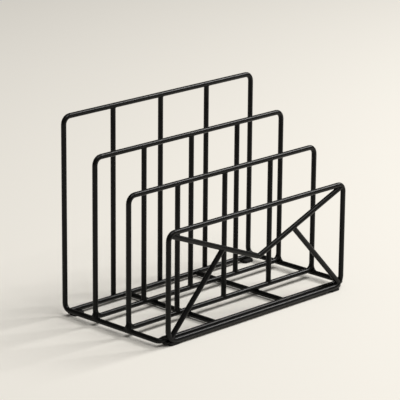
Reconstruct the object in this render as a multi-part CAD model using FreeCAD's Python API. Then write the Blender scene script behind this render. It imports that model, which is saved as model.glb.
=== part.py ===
import FreeCAD, Part
import math
import os

# Desktop letter rack of bent and welded round steel wire. All sizes are in millimetres.
# +X is to the right of somebody facing the rack, -Y is its front and +Z is up.
# The origin is the middle of the footprint, level with the underside of the feet.
# The rack mirrors itself about X = 0.
# Sizes of wires are taken between their centre lines.

Vector = FreeCAD.Vector

# Wire stock and how it is bent and joined
WIRE_D = 4.8
WIRE_R = WIRE_D / 2
BEND_STEP = 18.0        # degrees that the wire turns in one step of a bend
BUTT_SINK = 1.0         # how far a wire's cut end sinks into the wire that it is welded to
CROSS_PRESS = 0.1       # how far two wires that cross are pressed into each other
SEAM_PRESS = 0.02       # how far two wires that lie side by side are pressed into each other

# Frames, from the tall rear one to the low front one
RACK_WIDTH = 240.0
FRONT_WIDTH = 226.7
REAR_Y = 62.5
SECOND_Y = 22.5
THIRD_Y = -20.0
FRONT_Y = -62.5
REAR_TOP = 184.0
SECOND_TOP = 154.5
THIRD_TOP = 128.5
FRONT_TOP = 102.5
TOP_BEND = 7.0
REAR_FOOT_BEND = 6.0
BASE_CORNER_BEND = 3.5
FRONT_LOWER_BEND = 9.5

# Heights of the base wires
RAIL_Z = 5.5
INNER_RAIL_Z = 3.3
CROSSBAR_Z = 4.7
FRONT_BOTTOM = 4.2

# Places of the wires inside the frames
UPRIGHT_XS = {"left": -60.0, "middle": 0.0, "right": 60.0}
INNER_RAIL_X = 44.5

# Envelope outline in the front frame
FLAP_TIP_Z = 57.5
FLAP_TIP_BEND = 5.0
FOLD_TOP_X = 45.5

# Rubber feet
FOOT_LENGTH = 12.0
FOOT_WIDTH = 7.0
FOOT_CORNER = 3.2
FRONT_FOOT_X = 105.0
REAR_FOOT_X = 110.0

# Derived places
HALF_WIDTH = RACK_WIDTH / 2
HALF_FRONT = FRONT_WIDTH / 2
SIDE = {"left": -1.0, "right": 1.0}

# The crossbar runs along the front of the rear uprights and is pressed into them.
CROSSBAR_Y = REAR_Y - WIRE_D + CROSS_PRESS

# The dividers' bottom bars lie across the inner rails and are pressed into them.
DIVIDER_BOTTOM = INNER_RAIL_Z + WIRE_D - CROSS_PRESS

# The base's front bar lies behind and a little above the front frame's bottom bar, along its whole length.
BASE_FRONT_Y = FRONT_Y + math.sqrt((WIRE_D - SEAM_PRESS) ** 2 - (RAIL_Z - FRONT_BOTTOM) ** 2)

# The feet reach up to the underside of the base's rails and front bar.
FOOT_HEIGHT = RAIL_Z - WIRE_R
FRONT_FOOT_Y = (FRONT_Y + BASE_FRONT_Y) / 2


def divider_lower_bend():
    """Bend radius that lets a divider's lower corner rest on the inner side of the rail below it."""
    rise = DIVIDER_BOTTOM - RAIL_Z
    reach = WIRE_D - CROSS_PRESS
    # With radius r the bend's centre is r beside the rail and r + rise above it, and r + reach away.
    half_b = reach - rise
    return half_b + math.sqrt(half_b ** 2 + reach ** 2 - rise ** 2)


def round_section(centre, direction):
    """Outline of the wire's round section, facing along a direction."""
    return Part.Wire(Part.makeCircle(WIRE_R, centre, direction))


def straight_run(section, run):
    """Straight stretch of wire that starts at a section."""
    return Part.Face(section).extrude(run)


def straight_wire(start, end):
    """Wire with square-cut ends between two points."""
    return straight_run(round_section(start, end - start), end - start)


def bend_sections(section, centre, axis, turn):
    """The wire's sections along a bend, in even steps, from its first one."""
    steps = math.ceil(turn / BEND_STEP - 1e-6)
    sections = [section]
    for step in range(steps):
        section = section.copy()
        section.rotate(centre, axis, turn / steps)
        sections.append(section)
    return sections


def bent_wire(points, radii):
    """Wire through a row of points, with each inner point rounded by its bend radius."""
    pieces = []
    start = points[0]
    section = round_section(start, points[1] - start)
    for before, corner, after, radius in zip(points, points[1:], points[2:], radii):
        inward = (corner - before).normalize()
        onward = (after - corner).normalize()
        turn = inward.getAngle(onward)
        setback = radius * math.tan(turn / 2)
        run = corner - inward * setback - start
        pieces.append(straight_run(section, run))

        bend_start = section.copy()
        bend_start.translate(run)
        axis = inward.cross(onward).normalize()
        bend_centre = start + run + axis.cross(inward) * radius
        sections = bend_sections(bend_start, bend_centre, axis, math.degrees(turn))
        pieces.append(Part.makeLoft(sections, True, True))
        section = sections[-1]
        start = corner + onward * setback
    pieces.append(straight_run(section, points[-1] - start))
    return pieces[0].fuse(pieces[1:]).removeSplitter()


def mirrored(shape):
    """The same shape on the other side of the rack."""
    return shape.mirror(Vector(0, 0, 0), Vector(1, 0, 0))


def closed_ring(right_half):
    """A closed ring of wire from its right half, whose ends lie at X = 0."""
    return right_half.fuse(mirrored(right_half)).removeSplitter()


def coped(wire, neighbours):
    """Wire whose cut ends are shaped to the round of the wires that they meet."""
    return wire.cut(neighbours)


def rear_frame_and_base():
    """One wire: rear frame, bent forward at its foot into both side rails and the base's front bar."""
    points = [
        Vector(0, REAR_Y, REAR_TOP),
        Vector(HALF_WIDTH, REAR_Y, REAR_TOP),
        Vector(HALF_WIDTH, REAR_Y, RAIL_Z),
        Vector(HALF_WIDTH, BASE_FRONT_Y, RAIL_Z),
        Vector(0, BASE_FRONT_Y, RAIL_Z),
    ]
    return closed_ring(bent_wire(points, [TOP_BEND, REAR_FOOT_BEND, BASE_CORNER_BEND]))


def upright_loop(y, half_width, top, bottom, lower_bend):
    """Closed loop of wire that stands across the rack."""
    points = [
        Vector(0, y, top),
        Vector(half_width, y, top),
        Vector(half_width, y, bottom),
        Vector(0, y, bottom),
    ]
    return closed_ring(bent_wire(points, [TOP_BEND, lower_bend]))


def upright(x, y, top_end, bottom_end, frame):
    """Vertical wire inside a frame."""
    return coped(straight_wire(Vector(x, y, bottom_end), Vector(x, y, top_end)), [frame])


def rear_crossbar(base):
    """Bar between the side wires, just in front of the rear uprights."""
    end_x = HALF_WIDTH - WIRE_R + BUTT_SINK
    bar = straight_wire(Vector(-end_x, CROSSBAR_Y, CROSSBAR_Z), Vector(end_x, CROSSBAR_Y, CROSSBAR_Z))
    return coped(bar, [base])


def inner_rail(side, neighbours):
    """Low wire from the crossbar to the base's front bar, under both dividers."""
    x = SIDE[side] * INNER_RAIL_X
    rear_end = CROSSBAR_Y - WIRE_R + BUTT_SINK
    front_end = BASE_FRONT_Y + WIRE_R - BUTT_SINK
    rail = straight_wire(Vector(x, rear_end, INNER_RAIL_Z), Vector(x, front_end, INNER_RAIL_Z))
    return coped(rail, neighbours)


def corner_middle(corner_z, towards_z, bend):
    """Middle of the bend in the front frame's right corner, for a bend that opens towards a height."""
    inset = bend * (1 - math.sqrt(0.5))
    lift = math.copysign(inset, towards_z - corner_z)
    return Vector(HALF_FRONT - inset, FRONT_Y, corner_z + lift)


def flap_outline(front_frame):
    """Envelope flap: one wire from corner to corner of the front frame, bent to a tip in the middle."""
    tip = Vector(0, FRONT_Y, FLAP_TIP_Z)
    corner = corner_middle(FRONT_TOP, FLAP_TIP_Z, TOP_BEND)
    along = (corner - tip).normalize()
    right_end = corner - along * (WIRE_R - BUTT_SINK)
    left_end = Vector(-right_end.x, right_end.y, right_end.z)
    return coped(bent_wire([left_end, tip, right_end], [FLAP_TIP_BEND]), [front_frame])


def fold_line(front_frame, flap):
    """Envelope fold: straight wire from the front frame's lower right corner up to the flap."""
    tip = Vector(0, FRONT_Y, FLAP_TIP_Z)
    flap_run = corner_middle(FRONT_TOP, FLAP_TIP_Z, TOP_BEND) - tip
    lower = corner_middle(FRONT_BOTTOM, FLAP_TIP_Z, FRONT_LOWER_BEND)
    upper = tip + flap_run * (FOLD_TOP_X / flap_run.x)
    along = (upper - lower).normalize()
    inset = along * (WIRE_R - BUTT_SINK)
    return coped(straight_wire(lower + inset, upper - inset), [front_frame, flap])


def foot(x, y, bar_y, bar_z):
    """Rubber pad with rounded corners, grooved on top by the bar that it is stuck to."""
    pad = Part.makeBox(FOOT_LENGTH, FOOT_WIDTH, FOOT_HEIGHT,
                       Vector(x - FOOT_LENGTH / 2, y - FOOT_WIDTH / 2, 0))
    upright_edges = [e for e in pad.Edges if abs(e.tangentAt(e.FirstParameter).z) > 0.9]
    pad = pad.makeFillet(FOOT_CORNER, upright_edges)
    bar = straight_wire(Vector(x - FOOT_LENGTH, bar_y, bar_z), Vector(x + FOOT_LENGTH, bar_y, bar_z))
    return pad.cut(bar)


def build():
    """All pieces by name."""
    parts = {}
    base = rear_frame_and_base()
    crossbar = rear_crossbar(base)
    parts["rear_frame_and_base_wire"] = base
    parts["rear_crossbar"] = crossbar
    for place, x in UPRIGHT_XS.items():
        parts["rear_upright_" + place] = upright(
            x, REAR_Y, REAR_TOP - WIRE_R + BUTT_SINK, CROSSBAR_Z - WIRE_R, base)

    dividers = {"second": (SECOND_Y, SECOND_TOP), "third": (THIRD_Y, THIRD_TOP)}
    for name, (y, top) in dividers.items():
        loop = upright_loop(y, HALF_WIDTH, top, DIVIDER_BOTTOM, divider_lower_bend())
        parts[name + "_divider_loop"] = loop
        for place, x in UPRIGHT_XS.items():
            parts[name + "_divider_upright_" + place] = upright(
                x, y, top - WIRE_R + BUTT_SINK, DIVIDER_BOTTOM + WIRE_R - BUTT_SINK, loop)

    for side in SIDE:
        parts["inner_base_rail_" + side] = inner_rail(side, [base, crossbar])

    front = upright_loop(FRONT_Y, HALF_FRONT, FRONT_TOP, FRONT_BOTTOM, FRONT_LOWER_BEND)
    parts["front_frame_loop"] = front
    flap = flap_outline(front)
    parts["envelope_flap_wire"] = flap
    right_fold = fold_line(front, flap)
    parts["envelope_fold_wire_right"] = right_fold
    parts["envelope_fold_wire_left"] = mirrored(right_fold)

    for side, sign in SIDE.items():
        parts["rear_foot_" + side] = foot(sign * REAR_FOOT_X, CROSSBAR_Y, CROSSBAR_Y, CROSSBAR_Z)
        parts["front_foot_" + side] = foot(sign * FRONT_FOOT_X, FRONT_FOOT_Y, FRONT_Y, FRONT_BOTTOM)
    return parts


os.makedirs("parts", exist_ok=True)
for name, shape in build().items():
    solid = shape.Solids[0]
    if len(shape.Solids) != 1 or not solid.isValid():
        raise ValueError(name + " is not one valid solid")
    solid.exportStep("parts/" + name + ".step")
    size = solid.BoundBox
    print("%-32s %8.1f mm3  x %7.1f %7.1f  y %6.1f %6.1f  z %6.2f %6.2f" % (
        name, solid.Volume, size.XMin, size.XMax, size.YMin, size.YMax, size.ZMin, size.ZMax))
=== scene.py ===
import math

import bmesh
import bpy
from mathutils import Matrix, Vector


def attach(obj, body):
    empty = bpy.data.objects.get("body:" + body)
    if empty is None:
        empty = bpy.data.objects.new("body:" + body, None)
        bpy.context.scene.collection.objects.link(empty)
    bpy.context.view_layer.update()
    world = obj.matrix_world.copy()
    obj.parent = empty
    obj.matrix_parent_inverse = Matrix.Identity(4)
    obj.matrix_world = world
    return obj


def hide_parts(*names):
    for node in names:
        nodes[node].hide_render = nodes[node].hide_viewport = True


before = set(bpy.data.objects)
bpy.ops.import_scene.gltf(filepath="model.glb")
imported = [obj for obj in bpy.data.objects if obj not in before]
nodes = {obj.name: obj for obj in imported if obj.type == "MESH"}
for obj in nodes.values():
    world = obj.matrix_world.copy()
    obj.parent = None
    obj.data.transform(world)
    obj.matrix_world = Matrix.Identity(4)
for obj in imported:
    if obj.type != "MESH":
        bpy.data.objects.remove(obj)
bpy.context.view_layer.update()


# Rear frame and base wire
# One length of 4.8 mm mild steel wire: the tall rear frame, bent forward at its foot into both side
# rails and round the front corners into the base's front bar. Like every wire it is powder-coated
# black after welding: satin, with a fine orange peel, tiny nibs, and a little polish from handling.
MM = 0.001
WIRE_R = 2.4 * MM
MERGE_WITHIN = 0.002 * MM
COAT_DARK = (0.0012, 0.0012, 0.0012, 1)
COAT_PALE = (0.0028, 0.0028, 0.0026, 1)


def noise(tree, place, scale, detail, roughness=0.5):
    texture = tree.nodes.new("ShaderNodeTexNoise")
    texture.inputs["Scale"].default_value = scale
    texture.inputs["Detail"].default_value = detail
    texture.inputs["Roughness"].default_value = roughness
    tree.links.new(place.outputs["Object"], texture.inputs["Vector"])
    return texture.outputs["Fac"]


def spread(tree, value, lowest, highest, from_low=0.3, from_high=0.7):
    stretch = tree.nodes.new("ShaderNodeMapRange")
    stretch.inputs["From Min"].default_value = from_low
    stretch.inputs["From Max"].default_value = from_high
    stretch.inputs["To Min"].default_value = lowest
    stretch.inputs["To Max"].default_value = highest
    tree.links.new(value, stretch.inputs["Value"])
    return stretch.outputs["Result"]


def two_tone(tree, value, dark, pale):
    ramp = tree.nodes.new("ShaderNodeValToRGB")
    ramp.color_ramp.elements[0].position = 0.3
    ramp.color_ramp.elements[0].color = dark
    ramp.color_ramp.elements[1].position = 0.7
    ramp.color_ramp.elements[1].color = pale
    tree.links.new(value, ramp.inputs["Fac"])
    return ramp.outputs["Color"]


def relief(tree, height, strength, depth, under=None):
    bump = tree.nodes.new("ShaderNodeBump")
    bump.inputs["Strength"].default_value = strength
    bump.inputs["Distance"].default_value = depth
    tree.links.new(height, bump.inputs["Height"])
    if under is not None:
        tree.links.new(under, bump.inputs["Normal"])
    return bump.outputs["Normal"]


def powder_coat():
    material = bpy.data.materials.new("black_powder_coat")
    material.use_nodes = True
    tree = material.node_tree
    shader = tree.nodes["Principled BSDF"]
    shader.inputs["IOR"].default_value = 1.48
    shader.inputs["Specular IOR Level"].default_value = 0.17
    shader.inputs["Coat Weight"].default_value = 0.03
    shader.inputs["Coat Roughness"].default_value = 0.2
    place = tree.nodes.new("ShaderNodeTexCoord")
    tint = two_tone(tree, noise(tree, place, scale=70, detail=4), COAT_DARK, COAT_PALE)
    tree.links.new(tint, shader.inputs["Base Color"])
    handling = noise(tree, place, scale=120, detail=6, roughness=0.6)
    tree.links.new(spread(tree, handling, lowest=0.27, highest=0.38), shader.inputs["Roughness"])
    orange_peel = noise(tree, place, scale=1300, detail=2)
    peel = relief(tree, orange_peel, strength=0.22, depth=0.12 * MM)
    nib_noise = noise(tree, place, scale=2600, detail=1)
    nib_spots = spread(tree, nib_noise, lowest=0, highest=1, from_low=0.66, from_high=0.74)
    nibs = relief(tree, nib_spots, strength=0.18, depth=0.08 * MM, under=peel)
    tree.links.new(nibs, shader.inputs["Normal"])
    return material


coat = powder_coat()


def coat_wire(name):
    """The coat on a wire, whose skin then runs smoothly round the bends."""
    wire = nodes[name]
    wire.data.materials.clear()
    wire.data.materials.append(coat)
    for face in wire.data.polygons:
        face.use_smooth = True
    joined = wire.modifiers.new("joined", "WELD")
    joined.merge_threshold = MERGE_WITHIN
    smooth = wire.modifiers.new("smooth", "WEIGHTED_NORMAL")
    smooth.keep_sharp = False
    smooth.weight = 100


coat_wire("rear_frame_and_base_wire")


# Rear crossbar
# A straight piece of the same wire between the two sides, low down in front of the rear uprights.
# Its ends are butted against the rails, and each upright is spot-welded to its back.
coat_wire("rear_crossbar")


def skin(rows, joined_ends):
    """Skin over rows of points. A row is a closed outline, and the end rows are joined or capped."""
    count = len(rows[0])
    points = [point for row in rows for point in row]
    faces = []
    for i in range(len(rows) if joined_ends else len(rows) - 1):
        here = i * count
        there = (i + 1) % len(rows) * count
        for k in range(count):
            after = (k + 1) % count
            faces.append((here + k, here + after, there + after, there + k))
    if not joined_ends:
        faces.append(tuple(range(count)))
        faces.append(tuple(range(len(points) - count, len(points))))
    return points, faces


def curve_between(start, corner, end, steps=4):
    """Points of a hollow curve from start to end that bends towards a corner."""
    points = []
    for i in range(steps + 1):
        t = i / steps
        points.append((1 - t) ** 2 * start + 2 * t * (1 - t) * corner + t ** 2 * end)
    return points


WELD_SUNK = 0.04 * MM
WELD_PROUD = 0.02 * MM
WELD_ROOT = 0.7 * MM
LEAST_LEG = 0.01 * MM
OVERHANG_USED = 0.95
BURIED = 0.5 * MM
SLEEVE_SUNK = 0.01 * MM


def butt_weld(place, along, bar, flare, rise=1.35, fill=0.0, sleeve=0.0, around=28):
    """Weld at a wire's end. The centre lines meet at a place, along points from the wire into the bar.

    The weld spreads along the bar by the flare and climbs the wire by rise times as much. It is hollow
    where fill is 0 and flat where fill is 1. A sleeve lets it reach further up, round a bend.
    """
    along = along.normalized()
    bar = bar.normalized()
    side = (bar - bar.dot(along) * along).normalized()
    across = along.cross(side)
    slant = along.dot(bar)

    def back(out, reach):
        """How far before the place the bar's skin lies, at a reach from the wire's centre line."""
        k = out.dot(bar) * reach
        left = WIRE_R ** 2 - reach ** 2 + k ** 2
        root = max((slant * k) ** 2 + (1 - slant ** 2) * left, 0)
        return (math.sqrt(root) - slant * k) / (1 - slant ** 2)

    rows = []
    for i in range(around):
        turn = 2 * math.pi * i / around
        out = math.cos(turn) * side + math.sin(turn) * across
        # Beside the bar the weld can't reach further out than the bar's own round.
        overhang = WIRE_R / max(abs(math.sin(turn)), 0.01) - WIRE_R
        leg = min(flare * math.cos(turn) ** 2, OVERHANG_USED * overhang) + LEAST_LEG
        touch = back(out, WIRE_R)
        foot_reach = WIRE_R + leg
        foot = Vector((foot_reach, back(out, foot_reach) - WELD_SUNK))
        start = Vector((WIRE_R - WELD_PROUD, touch + rise * leg))
        hollow = Vector((WIRE_R, touch)).lerp((start + foot) / 2, fill)
        profile = curve_between(start, hollow, foot)
        profile.append(Vector((WIRE_R, touch - BURIED)))
        profile.append(Vector((WIRE_R - WELD_ROOT, touch)))
        if sleeve:
            profile.append(Vector((WIRE_R - BURIED, sleeve)))
            profile.append(Vector((WIRE_R - SLEEVE_SUNK, sleeve)))
        rows.append([place + p.x * out - p.y * along for p in profile])
    return skin(rows, True)


CROSS_SUNK = 0.05 * MM
CROSS_WAIST = 0.45
CROSS_CORE = 0.25
CROSS_CORE_HALF = 0.4 * MM


def cross_weld(touch, lower, upper, size=2.0 * MM, around=24):
    """Weld round the point where two wires cross. The upper one lies on the side of lower x upper."""
    lower = lower.normalized()
    upper = upper.normalized()
    lift = lower.cross(upper)
    rows = []
    for i in range(around):
        turn = 2 * math.pi * i / around
        out = math.cos(turn) * lower + math.sin(turn) * upper

        def under(reach):
            """Height of the lower wire's skin."""
            return math.sqrt(WIRE_R ** 2 - (reach * math.sin(turn)) ** 2) - WIRE_R

        def over(reach):
            """Height of the upper wire's skin."""
            return WIRE_R - math.sqrt(WIRE_R ** 2 - (reach * math.cos(turn)) ** 2)

        low = Vector((size, under(size) - CROSS_SUNK))
        high = Vector((size, over(size) + CROSS_SUNK))
        waist = Vector((CROSS_WAIST * size, (under(size) + over(size)) / 2))
        profile = curve_between(low, waist, high)
        profile.append(Vector((CROSS_CORE * size, CROSS_CORE_HALF)))
        profile.append(Vector((CROSS_CORE * size, -CROSS_CORE_HALF)))
        rows.append([touch + p.x * out + p.y * lift for p in profile])
    return skin(rows, True)


def run_of_weld(points, radii, around=14):
    """Short run of weld along a notch, thick in the middle and thin at its ends."""
    rows = []
    for i, (point, radius) in enumerate(zip(points, radii)):
        before = points[max(i - 1, 0)]
        after = points[min(i + 1, len(points) - 1)]
        along = (after - before).normalized()
        side = along.orthogonal().normalized()
        across = along.cross(side)
        row = []
        for k in range(around):
            turn = 2 * math.pi * k / around
            row.append(point + radius * (math.cos(turn) * side + math.sin(turn) * across))
        rows.append(row)
    return skin(rows, False)


def new_piece(name, points, faces, material, flat_ends):
    mesh = bpy.data.meshes.new(name)
    mesh.from_pydata(points, [], faces)
    shape = bmesh.new()
    shape.from_mesh(mesh)
    bmesh.ops.recalc_face_normals(shape, faces=shape.faces)
    for face in shape.faces:
        face.smooth = len(face.verts) == 4 or not flat_ends
    shape.to_mesh(mesh)
    shape.free()
    mesh.materials.append(material)
    piece = bpy.data.objects.new(name, mesh)
    bpy.context.scene.collection.objects.link(piece)
    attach(piece, "root")
    return piece


def weld_piece(name, welds):
    """One object of all welds of a group, under the same coat as the wires."""
    points = []
    faces = []
    for some_points, some_faces in welds:
        faces += [tuple(k + len(points) for k in face) for face in some_faces]
        points += some_points
    new_piece(name, points, faces, coat, flat_ends=False)


X_WAY = Vector((1, 0, 0))
Y_WAY = Vector((0, 1, 0))
Z_WAY = Vector((0, 0, 1))
SIDE_X = 120 * MM
RAIL_Z = 5.5 * MM
CROSSBAR_Y = 57.8 * MM
CROSSBAR_Z = 4.7 * MM
CROSSBAR_FLARE = 1.3 * MM
weld_piece("rear_crossbar_welds", [
    butt_weld(Vector((sign * SIDE_X, CROSSBAR_Y, CROSSBAR_Z)), sign * X_WAY, Y_WAY, CROSSBAR_FLARE)
    for sign in (-1, 1)])


# Rear uprights
# Three straight wires inside the rear frame. Each is butt-welded under the top bar and spot-welded
# against the back of the crossbar, where the wires are pressed a little into each other.
UPRIGHTS = {"left": -60 * MM, "middle": 0.0, "right": 60 * MM}
REAR_Y = 62.5 * MM
REAR_TOP = 184 * MM
END_FLARE = 1.5 * MM

rear_welds = []
for side, x in UPRIGHTS.items():
    coat_wire("rear_upright_" + side)
    rear_welds.append(butt_weld(Vector((x, REAR_Y, REAR_TOP)), Z_WAY, X_WAY, END_FLARE))
    rear_welds.append(cross_weld(Vector((x, REAR_Y - WIRE_R, CROSSBAR_Z)), X_WAY, -Z_WAY))
weld_piece("rear_upright_welds", rear_welds)


# Second and third divider
# Each is a closed loop of wire, lower than the one behind it, with three uprights inside. Its bottom
# bar lies across the inner rails, and its lower corners are welded down on the side rails, where the
# weld has run out along the rail to the front and the back.
DIVIDERS = {"second": (22.5 * MM, 154.5 * MM), "third": (-20 * MM, 128.5 * MM)}
DIVIDER_BOTTOM = 8.0 * MM
CORNER_FLARE = 3.1 * MM
CORNER_SLEEVE = 9.2 * MM
INNER_RAIL_X = 44.5 * MM
INNER_RAIL_Z = 3.3 * MM
CROSS_PRESS = 0.1 * MM

for name, (y, top) in DIVIDERS.items():
    coat_wire(name + "_divider_loop")
    welds = []
    for side, x in UPRIGHTS.items():
        coat_wire(name + "_divider_upright_" + side)
        welds.append(butt_weld(Vector((x, y, top)), Z_WAY, X_WAY, END_FLARE))
        welds.append(butt_weld(Vector((x, y, DIVIDER_BOTTOM)), -Z_WAY, X_WAY, END_FLARE))
    for sign in (-1, 1):
        corner = Vector((sign * SIDE_X, y, RAIL_Z))
        welds.append(butt_weld(corner, -Z_WAY, Y_WAY, CORNER_FLARE, rise=1.8, fill=0.5, sleeve=CORNER_SLEEVE))
        touch = Vector((sign * INNER_RAIL_X, y, INNER_RAIL_Z + WIRE_R - CROSS_PRESS / 2))
        welds.append(cross_weld(touch, X_WAY, Y_WAY))
    weld_piece(name + "_divider_welds", welds)


# Inner base rails
# Two low wires from the crossbar to the base's front bar that carry both dividers. Their ends are
# butted against these bars and welded.
BASE_FRONT_Y = -57.9 * MM
SMALL_FLARE = 1.2 * MM

inner_welds = []
for side, sign in (("left", -1), ("right", 1)):
    coat_wire("inner_base_rail_" + side)
    x = sign * INNER_RAIL_X
    inner_welds.append(butt_weld(Vector((x, CROSSBAR_Y, CROSSBAR_Z)), Y_WAY, X_WAY, SMALL_FLARE))
    inner_welds.append(butt_weld(Vector((x, BASE_FRONT_Y, RAIL_Z)), -Y_WAY, X_WAY, SMALL_FLARE))
weld_piece("inner_rail_welds", inner_welds)


# Front frame
# A low closed loop of wire, a little narrower than the base, which stands against the base's front
# bar along its whole length. At each corner one bead of weld lies in the notch above the two bars and
# one in the notch below them. They are given by points in millimetres, from the frame outwards.
FRONT_Y = -62.5 * MM
FRONT_X = 113.35 * MM
FRONT_TOP = 102.5 * MM
FRONT_BOTTOM = 4.2 * MM
BEAD_ABOVE = [
    (107, -60.9, 6.2), (110.5, -60.8, 7.0), (113.5, -60.2, 8.4),
    (116.2, -58.6, 8.1), (118.6, -56.2, 7.3)]
BEAD_BELOW = [
    (107.5, -60.6, 3.6), (110.3, -60.5, 3.2), (112.6, -60.2, 3.0),
    (115.0, -59.3, 3.2), (117.2, -57.8, 4.1)]
BEAD_RADII = [0.5 * MM, 1.4 * MM, 2.0 * MM, 1.6 * MM, 0.5 * MM]

coat_wire("front_frame_loop")
front_welds = []
for sign in (-1, 1):
    for bead in (BEAD_ABOVE, BEAD_BELOW):
        points = [Vector((sign * x, y, z)) * MM for x, y, z in bead]
        front_welds.append(run_of_weld(points, BEAD_RADII))
weld_piece("front_corner_welds", front_welds)


# Envelope flap and folds
# The front of an envelope drawn in wire: one wire bent to a blunt tip for the flap, butted into the
# frame's upper corners, and two straight wires from the lower corners up to the flap.
FLAP_TIP_Z = 57.5 * MM
FOLD_TOP_X = 45.5 * MM
TOP_BEND = 7.0 * MM
LOWER_BEND = 9.5 * MM


def bend_inset(bend):
    """How far a bend's middle lies inside the sharp corner, sideways and in height."""
    return bend * (1 - math.sqrt(0.5))


coat_wire("envelope_flap_wire")
coat_wire("envelope_fold_wire_left")
coat_wire("envelope_fold_wire_right")
tip = Vector((0, FRONT_Y, FLAP_TIP_Z))
envelope_welds = []
for sign in (-1, 1):
    inset = bend_inset(TOP_BEND)
    upper = Vector((sign * (FRONT_X - inset), FRONT_Y, FRONT_TOP - inset))
    inset = bend_inset(LOWER_BEND)
    lower = Vector((sign * (FRONT_X - inset), FRONT_Y, FRONT_BOTTOM + inset))
    flap = upper - tip
    join = tip + flap * (FOLD_TOP_X / abs(flap.x))
    envelope_welds.append(butt_weld(upper, flap, Vector((sign, 0, -1)), SMALL_FLARE))
    envelope_welds.append(butt_weld(lower, lower - join, Vector((sign, 0, 1)), SMALL_FLARE))
    envelope_welds.append(butt_weld(join, join - lower, flap, SMALL_FLARE))
weld_piece("envelope_welds", envelope_welds)


# Feet
# Four small pads of black rubber, stuck under the crossbar and under the front bars near the corners.
# They are moulded with round corners and soft edges, and the wires press into their tops.
REAR_FOOT_X = 111.2 * MM
REAR_FOOT_Y = 56.4 * MM
REAR_FOOT_SIZE = Vector((12.0, 9.4)) * MM
FRONT_FOOT_X = 105.2 * MM
FRONT_FOOT_Y = -60.2 * MM
FRONT_FOOT_SIZE = Vector((12.4, 7.6)) * MM
FOOT_HIGH = 3.1 * MM
FOOT_CORNER = 2.4 * MM
FOOT_EDGE = 0.5 * MM
FOOT_DRAFT = 0.25 * MM
RUBBER_DARK = (0.0052, 0.0050, 0.0048, 1)
RUBBER_PALE = (0.0105, 0.0100, 0.0095, 1)


def rubber():
    material = bpy.data.materials.new("black_rubber")
    material.use_nodes = True
    tree = material.node_tree
    shader = tree.nodes["Principled BSDF"]
    shader.inputs["IOR"].default_value = 1.5
    shader.inputs["Specular IOR Level"].default_value = 0.3
    place = tree.nodes.new("ShaderNodeTexCoord")
    tint = two_tone(tree, noise(tree, place, scale=240, detail=5), RUBBER_DARK, RUBBER_PALE)
    tree.links.new(tint, shader.inputs["Base Color"])
    dull = spread(tree, noise(tree, place, scale=420, detail=4), lowest=0.62, highest=0.82)
    tree.links.new(dull, shader.inputs["Roughness"])
    grain = relief(tree, noise(tree, place, scale=2200, detail=3), strength=0.3, depth=0.1 * MM)
    tree.links.new(grain, shader.inputs["Normal"])
    return material


rubber_black = rubber()


def pad_outline(middle, size, inset, height):
    """The pad's outline with round corners, drawn in from its full size and at a height."""
    half_long = size.x / 2 - inset
    half_wide = size.y / 2 - inset
    corner = FOOT_CORNER - inset
    row = []
    for quarter in range(4):
        for degrees in range(0, 91, 15):
            turn = math.radians(90 * quarter + degrees)
            centre_x = (half_long - corner) * (1 if quarter in (0, 3) else -1)
            centre_y = (half_wide - corner) * (1 if quarter in (0, 1) else -1)
            row.append(Vector((middle.x + centre_x + corner * math.cos(turn),
                               middle.y + centre_y + corner * math.sin(turn), height)))
    return row


def foot(name, middle, size):
    """A pad with a rounded edge at its foot and one at its top, where it is a little smaller."""
    quarter_turn = [math.radians(degrees) for degrees in (0, 22.5, 45, 67.5, 90)]
    rows = []
    for turn in quarter_turn:
        inset = FOOT_EDGE * (1 - math.sin(turn))
        rows.append(pad_outline(middle, size, inset, FOOT_EDGE * (1 - math.cos(turn))))
    for turn in quarter_turn:
        inset = FOOT_DRAFT + FOOT_EDGE * (1 - math.cos(turn))
        rows.append(pad_outline(middle, size, inset, FOOT_HIGH - FOOT_EDGE * (1 - math.sin(turn))))
    points, faces = skin(rows, False)
    pad = new_piece(name + "_pad", points, faces, rubber_black, flat_ends=True)
    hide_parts(name)


for side, sign in (("left", -1), ("right", 1)):
    foot("rear_foot_" + side, Vector((sign * REAR_FOOT_X, REAR_FOOT_Y)), REAR_FOOT_SIZE)
    foot("front_foot_" + side, Vector((sign * FRONT_FOOT_X, FRONT_FOOT_Y)), FRONT_FOOT_SIZE)


# Floor
# A plain pale matt floor, large enough to fill the view from any side.
FLOOR_HALF = 4
FLOOR_COLOUR = (0.88, 0.855, 0.8, 1)

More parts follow.
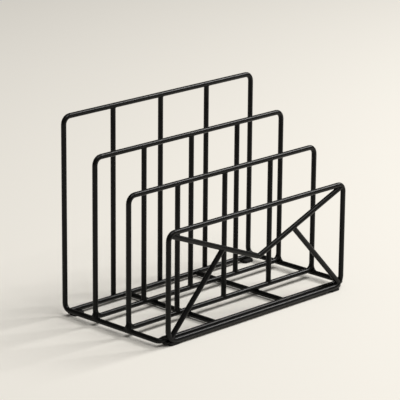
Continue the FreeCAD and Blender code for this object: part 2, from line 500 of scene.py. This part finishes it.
corners = [(x * FLOOR_HALF, y * FLOOR_HALF, 0) for x, y in ((-1, -1), (1, -1), (1, 1), (-1, 1))]
floor_mesh = bpy.data.meshes.new("floor")
floor_mesh.from_pydata(corners, [], [(0, 1, 2, 3)])
floor = bpy.data.objects.new("floor", floor_mesh)
bpy.context.scene.collection.objects.link(floor)
floor_paint = bpy.data.materials.new("floor")
floor_paint.use_nodes = True
floor_shader = floor_paint.node_tree.nodes["Principled BSDF"]
floor_shader.inputs["Base Color"].default_value = FLOOR_COLOUR
floor_shader.inputs["Roughness"].default_value = 0.75
floor_shader.inputs["Specular IOR Level"].default_value = 0.2
floor_mesh.materials.append(floor_paint)


# Light
# A soft lamp high up on the right, a broad one overhead, and pale light from all round.
# Both lamps are square and point at the middle of the rack's base.
def soft_light(name, place, size, power, colour):
    data = bpy.data.lights.new(name, "AREA")
    data.shape = "SQUARE"
    data.size = size
    data.energy = power
    data.color = colour
    light = bpy.data.objects.new(name, data)
    light.location = place
    light.rotation_euler = (-Vector(place)).to_track_quat("-Z", "Y").to_euler()
    bpy.context.scene.collection.objects.link(light)


soft_light("lamp_over", place=(0.1, -1, 2.5), size=1.4, power=38, colour=(1, 0.985, 0.96))
soft_light("lamp_right", place=(2.1, -0.6, 2), size=0.9, power=54, colour=(1, 0.99, 0.97))
world = bpy.data.worlds.new("studio")
world.use_nodes = True
surround = world.node_tree.nodes["Background"]
surround.inputs["Color"].default_value = (0.9, 0.87, 0.82, 1)
surround.inputs["Strength"].default_value = 0.18
bpy.context.scene.world = world
bpy.context.scene.view_settings.view_transform = "Standard"


# Camera
# Far off with a long lens, from the left of the rack's front and a little above it. Angles are in
# degrees, and the direction is the one that the camera looks along.
def make_camera(place, sideways, down, roll, lens):
    swing, dip, tilt = (math.radians(angle) for angle in (sideways, down, roll))
    forward = Vector((math.sin(swing) * math.cos(dip), math.cos(swing) * math.cos(dip), -math.sin(dip)))
    level = Vector((math.cos(swing), -math.sin(swing), 0))
    upward = level.cross(forward)
    right = math.cos(tilt) * level + math.sin(tilt) * upward
    top = -math.sin(tilt) * level + math.cos(tilt) * upward
    turn = Matrix((right, top, -forward)).transposed()
    data = bpy.data.cameras.new("camera")
    data.sensor_width = 36
    data.lens = lens
    data.clip_end = 20
    camera = bpy.data.objects.new("camera", data)
    camera.matrix_world = Matrix.Translation(place) @ turn.to_4x4()
    bpy.context.scene.collection.objects.link(camera)
    bpy.context.scene.camera = camera


make_camera(place=Vector((-1.4997, -1.4534, 0.7114)), sideways=45.682, down=16.404, roll=0.491, lens=216)
